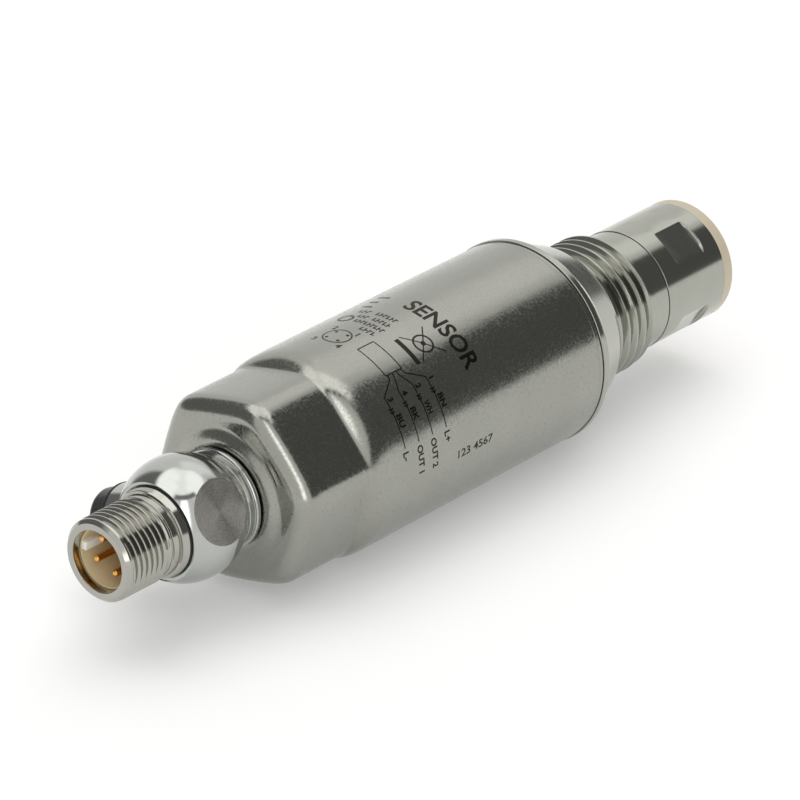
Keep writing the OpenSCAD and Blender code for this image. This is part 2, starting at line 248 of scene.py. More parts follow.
MEMBRANE = Finish("membrane", (0.8, 0.8, 0.78), 0.1, 0.0, 0.7, pitch=0.2)
LASER_MARK = Finish("laser_mark", (0.034, 0.031, 0.025), 0.4, 1.0, 0.34, 0.06, pitch=0.12, relief=0.003,
                    blotch=0.2)


# --- shaping -------------------------------------------------------------------------------------

# A corner of an outline: its place along the axis, its distance from it and, where it is round, its radius.
Corner = tuple[float, ...]


@dataclass(frozen=True)
class Span:
    """Where a CAD node lies: its two ends along X and its largest distance from the axis plane."""

    start: float
    end: float
    radius: float

    @classmethod
    def of(cls, node: str) -> "Span":
        """Returns the span of a CAD node, in millimetres."""
        low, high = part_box(node)
        return cls(low.x / MM, high.x / MM, high.z / MM)


def span_of(node: str) -> Span:
    """Returns a dataclass field whose default is the span of a CAD node."""
    return field(default_factory=lambda: Span.of(node))


def clock(angle: float) -> Vector:
    """Returns the unit direction away from the X axis at a clock angle."""
    turn = math.radians(angle)
    return Vector((0, -math.cos(turn), math.sin(turn)))


def rounded(corners: Sequence[Corner], closed: bool, steps: int = 5, guard: float = 0.05) -> list[Vector]:
    """Replaces each rounded corner of an outline by an arc.

    Args:
        corners: The outline's corners in order.
        closed: Whether the last corner joins the first.
        steps: Number of segments of each arc.
        guard: Distance of the extra points that keep the faces beside an arc flat.

    Returns:
        The outline's points in the XZ plane.
    """
    points: list[Vector] = []
    places = [Vector((corner[0], 0, corner[1])) for corner in corners]
    for i, here in enumerate(places):
        radius = corners[i][2] if len(corners[i]) > 2 else 0.0
        if radius <= 0 or (not closed and i in (0, len(corners) - 1)):
            points.append(here)
            continue
        sides = (places[i - 1] - here, places[(i + 1) % len(places)] - here)
        half = sides[0].angle(sides[1]) / 2
        reach = radius / math.tan(half)
        ways = [side.normalized() for side in sides]
        centre = here + (ways[0] + ways[1]).normalized() * (radius / math.sin(half))
        first, last = [(here + way * reach - centre).normalized() for way in ways]
        arc = [centre + first.slerp(last, k / steps).normalized() * radius for k in range(steps + 1)]
        guards = [[here + way * (reach + guard)] if side.length > reach + 3 * guard else []
                  for side, way in zip(sides, ways)]
        points += guards[0] + arc + guards[1]
    return points


def turned(points: Sequence[Vector], closed: bool = True, steps: int = 192) -> Mesh:
    """Turns an outline in the XZ plane about the X axis.

    Args:
        points: The outline's points.
        closed: Whether the last point joins the first.
        steps: Number of steps round the axis.

    Returns:
        The turned mesh, with its doubles merged and its faces outwards.
    """
    bm = bmesh.new()
    verts = [bm.verts.new(point) for point in points]
    edges = [bm.edges.new(pair) for pair in zip(verts, verts[1:])]
    if closed:
        edges.append(bm.edges.new((verts[-1], verts[0])))
    bmesh.ops.spin(bm, geom=verts + edges, cent=(0, 0, 0), axis=(1, 0, 0), dvec=(0, 0, 0),
                   angle=math.tau, steps=steps, use_merge=True)
    bmesh.ops.remove_doubles(bm, verts=bm.verts, dist=1e-4)
    bmesh.ops.recalc_face_normals(bm, faces=bm.faces)
    return bm


def turned_corners(corners: Sequence[Corner], steps: int = 192) -> Mesh:
    """Turns a closed outline of corners about the X axis."""
    return turned(rounded(corners, True), True, steps)


def onto_radial_axis(bm: Mesh, x: float, angle: float) -> None:
    """Moves a mesh that was turned about the X axis onto the radial axis at x and a clock angle."""
    outward = clock(angle)
    along = Vector((1, 0, 0))
    across = outward.cross(along)
    turn = Matrix((outward, along, across)).transposed().to_4x4()
    bmesh.ops.transform(bm, matrix=Matrix.Translation((x, 0, 0)) @ turn, verts=bm.verts)


def cut_through(bm: Mesh, place: Vector, normal: Vector, clear: bool = False) -> list[bmesh.types.BMEdge]:
    """Cuts a mesh at a plane, clears the far side if asked to, and returns the cut's edges."""
    cut = bmesh.ops.bisect_plane(bm, geom=[*bm.verts, *bm.edges, *bm.faces], dist=1e-5, plane_co=place,
                                 plane_no=normal, clear_outer=clear)
    return [item for item in cut["geom_cut"] if isinstance(item, bmesh.types.BMEdge)]


def make_object(name: str, bm: Mesh, material: bpy.types.Material) -> bpy.types.Object:
    """Makes a scene object of a mesh, which is freed, and returns it."""
    mesh = bpy.data.meshes.new(name)
    bm.to_mesh(mesh)
    bm.free()
    mesh.materials.append(material)
    made = bpy.data.objects.new(name, mesh)
    bpy.context.scene.collection.objects.link(made)
    return made


def make_piece(name: str, bm: Mesh, finish: Finish, body: str, *nodes: str, slot: str = "",
               sharp: float = 28.0) -> bpy.types.Object:
    """Makes a finished piece of a mesh in millimetres.

    Args:
        name: Name of the piece.
        bm: The mesh, which is freed.
        finish: The surface finish.
        body: The CAD body that the piece moves with.
        nodes: CAD nodes that the piece replaces.
        slot: Not used.
        sharp: Edges that turn by more degrees than this are shaded sharp.

    Returns:
        The piece's object.
    """
    piece = make_object(name, bm, finish.material())
    mesh = piece.data
    mesh.transform(Matrix.Scale(MM, 4))
    mesh.shade_smooth()
    mesh.set_sharp_from_angle(angle=math.radians(sharp))
    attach(piece, body)
    if nodes:
        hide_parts(*nodes)
    log.info("%s: %d faces, %s", name, len(mesh.polygons), finish.name)
    return piece


def dress_node(node: str, finish: Finish) -> None:
    """Gives a CAD node a finish in place of its plain colour."""
    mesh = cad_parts[node].data
    mesh.materials.clear()
    mesh.materials.append(finish.material())
    log.info("%s: CAD mesh, %s", node, finish.name)


def soft_min(values: Sequence[float], softness: float) -> float:
    """Returns the least of the values, rounded where two of them cross."""
    least = min(values)
    total = sum(math.exp((least - value) / softness) for value in values)
    return least - softness * math.log(total)


def soft_ramp(distance: float, softness: float) -> float:
    """Returns 0 below 0 and the distance itself above it, with a rounded start."""
    scaled = distance / softness
    if scaled > 40:
        return distance
    return softness * math.log1p(math.exp(scaled))


# --- threads -------------------------------------------------------------------------------------

@dataclass(frozen=True)
class Thread:
    """A right-hand external thread, as a bar that winds round its core.

    Attributes:
        start: Place of the first crest along X, at the clock angle given by lead_in.
        turns: Number of whole and part turns.
        radius: Major radius.
        depth: Depth of the thread.
        pitch: Distance between crests.
        crest: Width of the flat on the crest.
        lead_in: Clock angle at which the crest passes its start.
        low_end: Place along X below which a 45 degree chamfer trims the thread.
        high_end: Place along X above which a 45 degree chamfer trims the thread.
        steps: Steps in each turn.
    """

    start: float
    turns: float
    radius: float
    depth: float
    pitch: float
    crest: float
    lead_in: float
    low_end: float
    high_end: float
    steps: int = 144

    def build(self) -> Mesh:
        """Returns the bar's closed mesh."""
        root = self.radius - self.depth
        half = self.crest / 2
        toe = 0.46 * self.pitch
        sunk = 0.15
        section = [
            (-self.pitch / 2, root - sunk), (-self.pitch / 2, root), (-toe, root + 0.01 * self.depth),
            (-half, self.radius, 0.5 * half), (half, self.radius, 0.5 * half),
            (toe, root + 0.01 * self.depth), (self.pitch / 2, root), (self.pitch / 2, root - sunk),
        ]
        bm = bmesh.new()
        verts = [bm.verts.new(point) for point in rounded(section, True, 2, guard=0.02)]
        edges = [bm.edges.new((verts[i - 1], verts[i])) for i in range(len(verts))]
        bm.faces.new(verts)
        count = round(self.turns * self.steps)
        step = Vector((self.pitch / self.steps, 0, 0))
        spun = bmesh.ops.spin(bm, geom=verts + edges, cent=(0, 0, 0), axis=(1, 0, 0), dvec=step,
                              angle=math.tau * count / self.steps, steps=count, use_merge=False)
        last_ring = [item for item in spun["geom_last"] if isinstance(item, bmesh.types.BMEdge)]
        bmesh.ops.contextual_create(bm, geom=last_ring)
        # The section is drawn at the +Z side, so the bar is turned to pass its start at lead_in.
        turn = Matrix.Rotation(math.radians(90 - self.lead_in), 4, "X")
        bmesh.ops.transform(bm, matrix=Matrix.Translation((self.start, 0, 0)) @ turn, verts=bm.verts)
        for vert in bm.verts:
            self._trim(vert)
        bmesh.ops.recalc_face_normals(bm, faces=bm.faces)
        return bm

    def _trim(self, vert: bmesh.types.BMVert) -> None:
        """Pulls a vertex in to the chamfers at the thread's two ends."""
        away = Vector((0, vert.co.y, vert.co.z))
        inside = min(vert.co.x - self.low_end, self.high_end - vert.co.x)
        limit = max(self.radius - self.depth - 0.1, min(self.radius, self.radius - self.depth + inside))
        if away.length > limit:
            vert.co.yz = (away * (limit / away.length)).yz


# --- housing -------------------------------------------------------------------------------------

@dataclass
class HousingCan:
    """The deep-drawn housing: a round can that runs out into a soft spanner hexagon.

    Attributes:
        radius: Outer radius of the round part.
        wall: Thickness of the sheet.
        corner: Rounding of the end face's edge.
        across_flats: Width across the flats.
        flat_length: Length of the flats from the end face.
        first_flat: Clock angle of the first flat.
        crown: How flat the flats are, from 0 for round to 1 for flat.
        softness: How softly neighbouring flats melt into each other.
        melt: How softly the run-out of a flat melts into the round part.
        run_out: Slope of the run-out at a flat's end.
        sink: How much the melting lowers the middle of a flat, which is made up for.
        mouth: Radius of the opening in the end face.
        collar_rise: Height of the collar that is drawn up round the opening.
        collar_top: Radius at which the collar's slope begins.
        collar_foot: Radius at which the collar's slope ends.
        steps: Steps round the axis.
        span: Where the CAD node lies.
    """

    radius: float = 15.25
    wall: float = 1.0
    corner: float = 2.7
    across_flats: float = 27.0
    flat_length: float = 12.5
    first_flat: float = 42.0
    crown: float = 0.94
    softness: float = 0.85
    melt: float = 0.98
    run_out: float = 0.98
    sink: float = 0.10
    mouth: float = 7.0
    collar_rise: float = 0.85
    collar_top: float = 7.7
    collar_foot: float = 10.1
    steps: int = 288
    span: Span = span_of("housing_shell")

    def side_radius(self, x: float, angle: float) -> float:
        """Returns the distance of the side wall from the axis at x and a clock angle."""
        past_flat = x - (self.face_x + self.flat_length)
        apothem = self.across_flats / 2 + self.sink + self.run_out * soft_ramp(past_flat, 0.18)
        softness = self.softness + (self.melt - self.softness) * min(max(past_flat + 0.6, 0.0), 1.0)
        reaches = [self.radius]
        for i in range(6):
            facing = math.cos(math.radians(angle - self.first_flat - 60 * i))
            if facing > 0.6:
                reaches.append(apothem / facing ** self.crown)
        return soft_min(reaches, softness)

    @property
    def face_x(self) -> float:
        """Place of the end face along X, at the foot of the collar."""
        return self.span.start + self.collar_rise

    def build(self) -> bpy.types.Object:
        """Builds the housing's sheet."""
        start = self.face_x
        end = self.span.end
        face_steps = 22
        arc_steps = 8
        points = []
        for k in range(face_steps):
            away = self.mouth + (self.radius - self.corner - self.mouth) * k / face_steps
            slope = min(max((away - self.collar_top) / (self.collar_foot - self.collar_top), 0.0), 1.0)
            rise = self.collar_rise * (1 - slope * slope * (3 - 2 * slope))
            points.append(Vector((start - rise, 0, away)))
        for k in range(arc_steps + 1):
            turn = math.radians(90 * k / arc_steps)
            points.append(Vector((start + self.corner * (1 - math.cos(turn)), 0,
                                  self.radius - self.corner * (1 - math.sin(turn)))))
        x = start + self.corner
        ramp = start + self.flat_length
        ramp_step = 0.2
        flat_step = 0.7
        body_step = 3.0
        last = end - 1.0
        while x < last - ramp_step:
            near_ramp = ramp - 2.5 < x < ramp + 4
            x += ramp_step if near_ramp else flat_step if x < ramp else body_step
            points.append(Vector((min(x, last), 0, self.radius)))
        points += rounded([
            (last, self.radius), (end - 0.9, self.radius), (end - 0.8, self.radius - 0.05, 0.03),
            (end - 0.05, self.radius - 0.03, 0.14), (end - 0.05, self.radius - 0.35),
        ], False, 4)[1:]
        bm = turned(points, False, self.steps)
        for vert in bm.verts:
            self._form(vert)
        bmesh.ops.recalc_face_normals(bm, faces=bm.faces)
        if sum(face.normal.dot(face.calc_center_median().yz.to_3d().zxy) for face in bm.faces) < 0:
            bmesh.ops.reverse_faces(bm, faces=bm.faces)
        piece = make_piece("housing_skin", bm, BLASTED_STEEL, HOUSING_BODY, "housing_shell", sharp=40)
        sheet = piece.modifiers.new("sheet", "SOLIDIFY")
        sheet.thickness = self.wall * MM
        sheet.offset = -1
        return piece

    def _form(self, vert: bmesh.types.BMVert) -> None:
        """Presses a vertex of the plain can onto the hexagonal form."""
        x, y, z = vert.co
        plain = math.hypot(y, z)
        angle = math.degrees(math.atan2(z, -y))
        corner_x = max(x, self.face_x + self.corner)
        press = self.radius - self.side_radius(corner_x, angle)
        flat_rim = self.radius - self.corner
        share = 1.0
        if plain < flat_rim:
            share = max(0.0, (plain - self.collar_foot) / (flat_rim - self.collar_foot))
        formed = plain - press * share
        vert.co.yz = (y * formed / plain, z * formed / plain)


# --- process end ---------------------------------------------------------------------------------

@dataclass
class ProcessEnd:
    """Weld flange, sealing cone, G 1/2 thread, neck, nose, tip ring and measuring cell.

    Attributes:
        flange_radius: Radius of the weld flange.
        thread_radius: Major radius of the process thread.
        thread_depth: Depth of the process thread.
        pitch: Pitch of the process thread.
        land: End of the thread's plain first land.
        thread_end: Where the thread's end chamfer starts.
        neck_radius: Radius of the neck in front of the nose.
        bore: Radius of the bore.
        pocket_gap: Distance from the nose's weld joint to the floors of the key pockets.
        pocket_floor: Distance from the axis to the floor of a key pocket.
        pocket_corner: Radius that the cutter leaves at a pocket's two ends.
        pocket_length: Length of a pocket's floor.
        first_pocket: Clock angle of the first pocket.
        cone_foot: Place along X and radius of the sealing cone's small end.
        cone_slope: How much the cone narrows for each millimetre along X.
        sleeve_bore: Radius of the nose's wide bore.
        joint: Place along X of the joint between the nose and the tip ring.
        fitting, nose, ring, cell: Where the CAD nodes lie.
        weld: Place along X of the weld between the housing and the flange.
    """

    flange_radius: float = 15.4
    thread_radius: float = 10.4775
    thread_depth: float = 1.162
    pitch: float = 1.814
    land: float = 1.2
    thread_end: float = 9.75
    neck_radius: float = 9.1
    bore: float = 5.0
    pocket_gap: float = 3.95
    pocket_floor: float = 8.72
    pocket_corner: float = 0.6
    pocket_length: float = 5.6
    first_pocket: float = 53.0
    cone_foot: tuple[float, float] = (-1.5, 12.33)
    cone_slope: float = 0.4147
    sleeve_bore: float = 7.6
    joint: float = 27.2
    fitting: Span = span_of("process_fitting")
    nose: Span = span_of("nose_sleeve")
    ring: Span = span_of("tip_ring")
    cell: Span = span_of("measuring_cell")
    weld: float = field(default_factory=lambda: Span.of("housing_shell").end)

    def build(self) -> None:
        """Builds every piece of the process end."""
        self._fitting()
        self._thread()
        self._nose()
        self._tip_ring()
        self._cell()

    def _fitting(self) -> None:
        """Turns the fitting from the spigot in the housing to the weld joint at the nose."""
        weld = self.weld
        back = self.fitting.start
        nose = self.nose.start
        root = self.thread_radius - self.thread_depth
        flank = self.thread_depth * math.tan(math.radians(27.5))
        bm = turned_corners([
            (back, self.bore), (back, 14.2), (weld + 0.02, 14.2), (weld + 0.02, self.flange_radius, 0.12),
            (weld + 0.95, self.flange_radius, 0.08), (weld + 1.02, self.flange_radius - 0.16, 0.03),
            (weld + 1.1, self.flange_radius - 0.12, 0.03), (weld + 1.98, self.cone_radius(weld + 1.98)),
            (weld + 2.04, self.cone_radius(weld + 2.04) - 0.10, 0.02),
            (weld + 2.12, self.cone_radius(weld + 2.12)), (*self.cone_foot, 0.2), (-0.5, 11.72, 0.12),
            (-0.3, 11.45, 0.08), (-0.3, self.thread_radius, 0.1), (self.land, self.thread_radius, 0.1),
            (self.land + flank, root, 0.12), (self.thread_end, root, 0.1),
            (self.thread_end + 0.15, self.neck_radius, 0.1), (nose - 0.12, self.neck_radius, 0.05),
            (nose - 0.12, self.neck_radius - 0.25), (nose, self.neck_radius - 0.25), (nose, self.bore),
        ])
        make_piece("fitting_body", bm, TURNED_STEEL, HOUSING_BODY, "process_fitting")

    def cone_radius(self, x: float) -> float:
        """Returns the distance of the sealing cone from the axis at x."""
        return self.cone_foot[1] - self.cone_slope * (x - self.cone_foot[0])

    def _thread(self) -> None:
        """Winds the process thread round the fitting."""
        first = self.land + 1.81
        thread = Thread(start=first - self.pitch, turns=5.3, radius=self.thread_radius,
                        depth=self.thread_depth, pitch=self.pitch, crest=0.3, lead_in=42, low_end=-1.0,
                        high_end=self.thread_end - 0.1)
        make_piece("process_thread", thread.build(), TURNED_STEEL, HOUSING_BODY)

    def _nose(self) -> None:
        """Turns the nose's sleeve and presses its four key pockets into it."""
        start = self.nose.start
        end = self.joint
        radius = self.nose.radius
        inner = self.sleeve_bore
        pocket_start = start + self.pocket_gap
        pocket_end = pocket_start + self.pocket_length
        wall_steps = 4
        ring_gap = 0.1
        stations = [pocket_start - 0.9 + ring_gap * k for k in range(wall_steps + 1)]
        stations += [pocket_start + self.pocket_length * k / 4 for k in range(1, 4)]
        stations += [pocket_end + 0.5 + ring_gap * k for k in range(wall_steps + 1)]
        outline = [Vector((start + 2, 0, self.bore)), Vector((start, 0, self.bore))]
        outline += rounded([(start, self.bore), (start, radius, 0.1), (stations[0], radius)], False)[1:]
        outline += [Vector((x, 0, radius)) for x in stations[1:]]
        outline += rounded([(stations[-1], radius), (end, radius, 0.08), (end, inner), (start + 2, inner)],
                           False)[1:]
        bm = turned(outline, True, 192)
        bends = {round(x, 4): (-1, 1 - k / wall_steps) for k, x in enumerate(stations[:wall_steps + 1])}
        bends |= {round(x, 4): (1, k / wall_steps) for k, x in enumerate(stations[-wall_steps - 1:])}
        for vert in bm.verts:
            self._press_pocket(vert, radius, (pocket_start, pocket_end), bends)
        make_piece("nose_body", bm, TURNED_STEEL, HOUSING_BODY, "nose_sleeve", sharp=13)

    def _press_pocket(self, vert: bmesh.types.BMVert, radius: float, ends: tuple[float, float],
                      bends: dict[float, tuple[int, float]]) -> None:
        """Moves a vertex of the plain sleeve onto the nearest pocket.

        Args:
            vert: The vertex.
            radius: Radius of the plain sleeve.
            ends: Where the pockets' floors start and end along X.
            bends: For each ring of vertices in an end wall, its end (-1 or 1) and its share of the wall.
        """
        x, y, z = vert.co
        if math.hypot(y, z) < radius - 0.01 or not ends[0] - 1 < x < ends[1] + 1:
            return
        angle = math.degrees(math.atan2(z, -y)) - self.first_pocket
        off_centre = math.radians((angle + 45) % 90 - 45)
        floor = self.pocket_floor
        side, share = bends.get(round(x, 4), (0, 0.0))
        if side:
            rise = max(0.0, radius * math.cos(off_centre) - floor)
            bend = share * math.acos(max(0.0, 1 - rise / self.pocket_corner))
            floor += self.pocket_corner * (1 - math.cos(bend))
            vert.co.x = ends[side > 0] + side * self.pocket_corner * math.sin(bend)
        depth = min(radius, floor / math.cos(off_centre))
        vert.co.yz = (y * depth / radius, z * depth / radius)

    def _tip_ring(self) -> None:
        """Turns the plastic ring at the tip."""
        tip = self.ring.end
        outer = self.ring.radius
        inner = 6.92
        collar = self.sleeve_bore - 0.02
        bm = turned_corners([
            (self.ring.start, inner), (self.ring.start, collar), (self.joint + 0.01, collar),
            (self.joint + 0.01, outer - 0.02, 0.06), (tip, outer, 0.45), (tip, inner, 0.12),
        ])
        make_piece("tip_ring_body", bm, CREAM_PLASTIC, HOUSING_BODY, "tip_ring")

    def _cell(self) -> None:
        """Turns the ceramic cell, whose rim is slightly broken."""
        radius = self.cell.radius
        bm = turned(rounded([
            (self.cell.start, 0), (self.cell.start, radius), (self.cell.end, radius, 0.15),
            (self.cell.end, radius - 1.1), (self.cell.end - 0.04, radius - 1.15), (self.cell.end - 0.04, 0),
        ], False), False, 96)
        make_piece("cell_body", bm, CELL_CERAMIC, HOUSING_BODY, "measuring_cell")


# --- connector head ------------------------------------------------------------------------------

@dataclass
class ConnectorHead:
    """The swivelling ball with its plug and vent.

    Attributes:
        ball_radius: Radius of the ball.
        front_radius: Radius at which the ball's front face cuts it.
        flat_reach: Distance from the axis to the ball's two flats.
        flat_turn: Clock angle of the plain flat.
        vent_turn: Clock angle of the vent.
        neck_radius: Radius of the neck behind the ball.
        rim_radius: Radius of the rim that faces the housing.
        spigot_radius: Radius of the spigot that turns in the bush.
        plug_radius: Major radius of the M12 thread.
        plug_depth: Depth of the M12 thread.
        plug_pitch: Pitch of the M12 thread.
        plug_bore: Radius of the plug's bore.
        pin_circle: Radius of the circle that the pins stand on.
        pin_radius: Radius of a pin.
        first_pin: Clock angle of the first pin.
        key_turn: Clock angle of the coding key.
        ball, shell, seal, rim_seal, insert, pin: Where the CAD nodes lie.
    """

    ball_radius: float = 8.9
    front_radius: float = 7.224
    flat_reach: float = 7.63
    flat_turn: float = 25.0
    vent_turn: float = 199.0
    neck_radius: float = 6.95
    rim_radius: float = 7.3
    spigot_radius: float = 5.6
    plug_radius: float = 6.0
    plug_depth: float = 0.61
    plug_pitch: float = 1.0
    plug_bore: float = 4.45
    pin_circle: float = 2.5
    pin_radius: float = 0.5
    first_pin: float = 28.0
    key_turn: float = 171.0
    ball: Span = span_of("ball_housing")
    shell: Span = span_of("m12_shell")
    seal: Span = span_of("shell_gasket")
    rim_seal: Span = span_of("rim_gasket")
    insert: Span = span_of("m12_insert")
    pin: Span = span_of("contact_pin_1")

    @property
    def ball_centre(self) -> float:
        """Centre of the ball along X."""
        return self.ball.start + math.sqrt(self.ball_radius ** 2 - self.front_radius ** 2)

    def build(self) -> None:
        """Builds every piece of the head."""
        self._ball()
        self._flat_disc()
        self._seals()
        self._plug()
        self._insert()
        self._pins()
        self._vent()

    def _ball(self) -> None:
        """Turns the ball with its neck, rim and spigot, and mills its two flats."""
        centre = self.ball_centre
        radius = self.ball_radius
        front = self.ball.start
        rim_back = self.rim_seal.start - 0.7
        rim_front = self.rim_seal.start + 0.2
        first = math.asin(7.1 / radius)
        last = math.pi - math.asin(self.neck_radius / radius)
        points = rounded([(front + 5, 4.5), (front, 4.98), (front, 7.1)], False)[1:]
        arc_steps = 56
        for k in range(arc_steps + 1):
            turn = first + (last - first) * k / arc_steps
            points.append(Vector((centre - radius * math.cos(turn), 0, radius * math.sin(turn))))
        neck = points[-1].x
        points += rounded([
            (neck, self.neck_radius), (neck + 0.3, self.neck_radius - 0.02, 0.02),
            (neck + 0.36, self.neck_radius - 0.12, 0.02), (neck + 0.44, self.neck_radius - 0.02, 0.02),
            (rim_back - 0.06, self.neck_radius, 0.04), (rim_back, self.rim_radius, 0.25),
            (rim_front, self.rim_radius, 0.4), (rim_front, self.rim_radius - 0.5),
            (self.rim_seal.start, self.rim_radius - 0.5), (self.rim_seal.start, self.spigot_radius),
            (self.ball.end, self.spigot_radius, 0.3), (self.ball.end, 3.8), (front + 10, 3.8),
            (front + 10, 4.5), (front + 5, 4.5), (front, 4.98),
        ], False)[1:-1]
        bm = turned(points, True, 192)
        for angle in (self.flat_turn, self.vent_turn):
            self._mill_flat(bm, angle)
        bmesh.ops.recalc_face_normals(bm, faces=bm.faces)
        make_piece("ball_body", bm, BALL_STEEL, HEAD_BODY, "ball_housing", sharp=14)

    def _mill_flat(self, bm: Mesh, angle: float) -> None:
        """Cuts the ball off at the flat's plane and closes the cut."""
        outward = clock(angle)
        bmesh.ops.contextual_create(bm, geom=cut_through(bm, outward * self.flat_reach, outward, clear=True))

    def _flat_disc(self) -> None:
        """Faces the plain flat with fine rings, as a thin turned disc."""
        rim = math.sqrt(self.ball_radius ** 2 - self.flat_reach ** 2) - 0.05
        bm = turned(rounded([
            (-0.02, 0), (-0.02, rim), (0.03, rim, 0.02), (0.03, rim * 0.66), (0.03, rim * 0.33),
            (0.03, 0.12), (0.03, 0),
        ], False, 2, 0.01), False, 144)
        rings = bm.loops.layers.uv.new("rings")
        for face in bm.faces:
            middle = face.calc_center_median()
            middle_turn = math.atan2(middle.z, middle.y)
            for loop in face.loops:
                x, y, z = loop.vert.co
                away = math.hypot(y, z)
                turn = math.atan2(z, y) if away > 1e-4 else middle_turn
                turn += math.tau * round((middle_turn - turn) / math.tau)
                loop[rings].uv = (turn / math.tau, away * MM)
        onto_radial_axis(bm, self.ball_centre, self.flat_turn)
        outward = clock(self.flat_turn)
        bmesh.ops.translate(bm, verts=bm.verts, vec=outward * self.flat_reach)
        make_piece("ball_flat_face", bm, DISC_STEEL, HEAD_BODY, slot=BALL_STEEL.name)

    def _seals(self) -> None:
        """Turns the black rings in front of and behind the ball."""
        rings = (("plug_seal", "shell_gasket", self.seal, 5.0, 0.06),
                 ("rim_seal", "rim_gasket", self.rim_seal, 5.62, 0.3))
        for name, node, span, inner, rounding in rings:
            bm = turned_corners([
                (span.start, inner), (span.start, span.radius, rounding), (span.end, span.radius, rounding),
                (span.end, inner),
            ])
            make_piece(name, bm, SEAL_RUBBER, HEAD_BODY, node)

    def _plug(self) -> None:
        """Turns the M12 shell and winds its thread."""
        mouth = self.shell.start
        root = self.plug_radius - self.plug_depth
        flange = self.seal.start
        inner_end = self.shell.end
        bm = turned_corners([
            (mouth, self.plug_bore, 0.12), (mouth, 5.42, 0.06), (mouth + 0.5, 5.9, 0.08),
            (mouth + 0.78, 5.95, 0.06), (mouth + 1.12, root, 0.08), (mouth + 8.15, root, 0.08),
            (mouth + 8.35, 5.62, 0.06), (mouth + 8.7, 5.62, 0.08), (mouth + 8.8, 5.88, 0.06),
            (mouth + 9.98, 5.88, 0.05), (mouth + 10.04, 6.26, 0.06), (mouth + 10.2, 6.34, 0.04),
            (flange, self.seal.radius - 0.04, 0.1), (flange, 4.98), (inner_end, 4.98, 0.1),
            (inner_end, self.plug_bore),
        ])
        make_piece("plug_shell", bm, PLUG_STEEL, HEAD_BODY, "m12_shell")
        thread = Thread(start=mouth + 0.9, turns=7.1, radius=self.plug_radius, depth=self.plug_depth,
                        pitch=self.plug_pitch, crest=0.2, lead_in=42, low_end=mouth,
                        high_end=mouth + 8.35, steps=112)
        make_piece("plug_thread", thread.build(), PLUG_STEEL, HEAD_BODY)

    def _insert(self) -> None:
        """Turns the contact cup and adds its coding key."""
        start = self.insert.start
        outer = self.insert.radius
        inner = outer - 0.25
        floor = self.shell.start + 9
        bm = turned_corners([
            (start, inner), (start, outer, 0.05), (self.insert.end, outer), (self.insert.end, 0.3),
            (floor + 0.4, 0.3), (floor, 0.9, 0.1), (floor, inner, 0.3),
        ], steps=128)
        make_piece("contact_cup", bm, BEIGE_PLASTIC, HEAD_BODY, "m12_insert")
        key = bmesh.new()
        bmesh.ops.create_cube(key, size=1.0)
        length = floor - start
        bmesh.ops.scale(key, vec=(length, 0.95, 1.4), verts=key.verts)
        bmesh.ops.bevel(key, geom=key.edges, offset=0.18, affect="EDGES", segments=3, profile=0.5,
                        material=-1)
        bmesh.ops.translate(key, vec=(start + length / 2, -(inner - 0.375), 0), verts=key.verts)
        turn = Matrix.Rotation(math.radians(-self.key_turn), 4, "X")
        bmesh.ops.transform(key, matrix=turn, verts=key.verts)
        make_piece("coding_key", key, HEADER_WHITE, HEAD_BODY, slot=BEIGE_PLASTIC.name)

    def _pins(self) -> None:
        """Turns the four contact pins with their rounded tips."""
        radius = self.pin_radius
        for number in range(1, 5):
            bm = turned(rounded([
                (self.pin.start, 0), (self.pin.start, radius, 0.32), (self.insert.end, radius),
                (self.insert.end, 0.35), (self.pin.end, 0.35, 0.1), (self.pin.end, 0),
            ], False, 6), False, 32)
            centre = clock(self.first_pin + 90 * (number - 1)) * self.pin_circle
            bmesh.ops.translate(bm, vec=centre, verts=bm.verts)
            make_piece(f"pin_{number}", bm, CONTACT_GOLD, HEAD_BODY, f"contact_pin_{number}")

    def _vent(self) -> None:
        """Turns the vent's metal boss, its plastic cap and the rubber ring between them."""
        low = self.flat_reach + 0.15
        top = 11.2
        crown = 14.6
        turned_parts = (
            ("vent_boss", BALL_STEEL, ["vent_body"], [
                (5.2, 1.2), (5.2, 2.38), (low - 0.15, 2.38), (low, 2.5), (low, 4.6, 0.1),
                (low + 0.3, 4.8, 0.1), (top - 0.5, 4.8, 0.15), (top, 4.3, 0.1), (top, 3.3), (top - 0.5, 3.3),
                (top - 0.5, 1.2)]),
            ("vent_cover", VENT_PLASTIC, ["vent_cap"], [
                (top, 3.35), (top, 4.2, 0.1), (crown, 4.2, 0.85), (crown, 1.2, 0.2), (crown - 0.35, 0.9, 0.2),
                (crown - 0.35, 0.02), (top + 0.4, 0.02), (top + 0.4, 3.35)]),
            ("vent_ring", SEAL_RUBBER, [], [
                (top - 0.3, 4.4), (top - 0.3, 4.88, 0.1), (top + 0.05, 4.84, 0.15), (top + 0.05, 4.2, 0.05)]),
        )
        for name, finish, nodes, corners in turned_parts:
            bm = turned_corners(corners, steps=128)
            onto_radial_axis(bm, self.ball_centre + 0.2, self.vent_turn)
            make_piece(name, bm, finish, HEAD_BODY, *nodes)


# --- laser marks ---------------------------------------------------------------------------------

class Reading(Enum):
    """Which way a mark reads on the housing."""

    ROUND = "down round the housing, with its top towards the tip"
    ALONG = "along the axis towards the tip, with its top towards the upper side"


